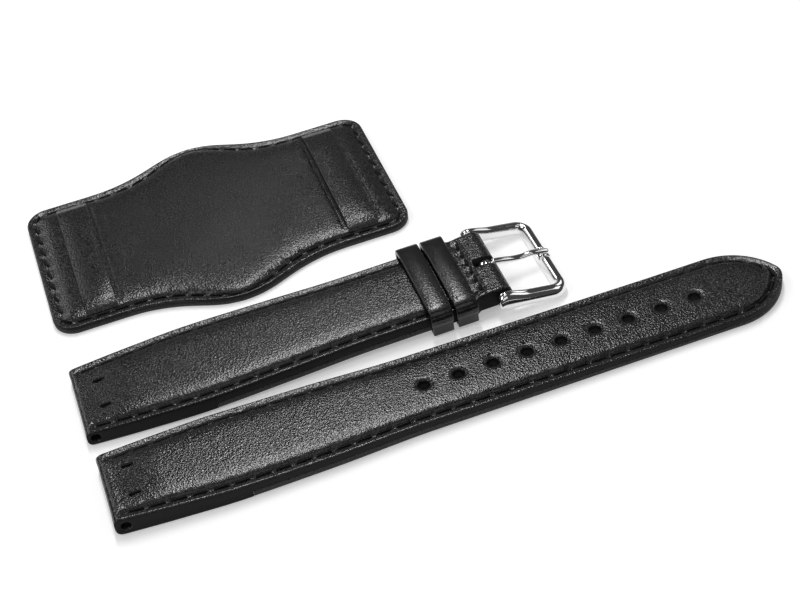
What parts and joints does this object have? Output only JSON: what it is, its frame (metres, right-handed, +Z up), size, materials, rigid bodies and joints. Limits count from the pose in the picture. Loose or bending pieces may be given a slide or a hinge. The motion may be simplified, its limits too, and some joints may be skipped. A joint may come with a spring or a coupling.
{
  "type": "bund watch strap",
  "caption": "Black leather bund watch strap laid open: flared pad with two cross bands, stitched short half with pin buckle and keepers, and punched long half.",
  "frame": {"origin": "middle of the laid-out pieces' bounding box, on the table they lie on", "axes": "+X along the straps, from the watch end towards the buckle and the tip; +Y to the pad's side; +Z up"},
  "size_m": [0.1314, 0.1002, 0.0063],
  "materials": {
    "leather": "smooth calf with a fine grain, satin",
    "lining_leather": "matt lining leather",
    "keeper_leather": "smooth calf, polished by wear",
    "felt": "felt",
    "thread": "waxed thread",
    "polished_steel": "polished",
    "spring_bar_steel": "drawn"
  },
  "bodies": {
    "pad": {"pad_top_leather": "leather", "pad_lining": "lining_leather", "pad_filler": "felt", "pad_loop_left": "leather", "pad_loop_right": "leather", "pad_stitching": "thread"},
    "short_half": {"short_top_leather": "leather", "short_lining": "lining_leather", "short_filler": "felt", "short_stitching": "thread", "short_lug_tacks": "thread", "fold_stitching": "thread", "fixed_keeper": "keeper_leather"},
    "keeper": {"free_keeper": "keeper_leather"},
    "buckle": {"buckle_frame": "polished_steel", "spring_bar_tube": "spring_bar_steel", "spring_bar_spring": "spring_bar_steel"},
    "tang": {"buckle_tang": "polished_steel"},
    "pin_far": {"spring_bar_pin_far": "spring_bar_steel"},
    "pin_near": {"spring_bar_pin_near": "spring_bar_steel"},
    "long_half": {"long_top_leather": "leather", "long_lining": "lining_leather", "long_filler": "felt", "long_stitching": "thread", "long_lug_tacks": "thread"}
  },
  "joints": [
    {"name": "short_half_lift", "type": "slide", "parent": "pad", "child": "short_half", "axis": [0, 0, 1], "range_m": [0, 0.03]},
    {"name": "long_half_lift", "type": "slide", "parent": "pad", "child": "long_half", "axis": [0, 0, 1], "range_m": [0, 0.03]},
    {"name": "keeper_slide", "type": "slide", "parent": "short_half", "child": "keeper", "axis": [0.9999, 0, 0.0166], "range_m": [-0.015, 0.0003]},
    {"name": "buckle_hinge", "type": "hinge", "parent": "short_half", "child": "buckle", "pos_m": [0.01585, -0.0167, 0.0034], "axis": [0, -1, 0], "range_deg": [0, 65]},
    {"name": "tang_hinge", "type": "hinge", "parent": "buckle", "child": "tang", "pos_m": [0.01585, -0.0167, 0.0034], "axis": [0, -1, 0], "range_deg": [0, 45]},
    {"name": "pin_far_press", "type": "slide", "parent": "buckle", "child": "pin_far", "axis": [0, -1, 0], "range_m": [0, 0.00125], "stiffness_N_per_m": 200, "springref_m": -0.002, "deforming": ["spring_bar_spring"]},
    {"name": "pin_near_press", "type": "slide", "parent": "buckle", "child": "pin_near", "axis": [0, 1, 0], "range_m": [0, 0.00125], "stiffness_N_per_m": 200, "springref_m": -0.002}
  ]
}
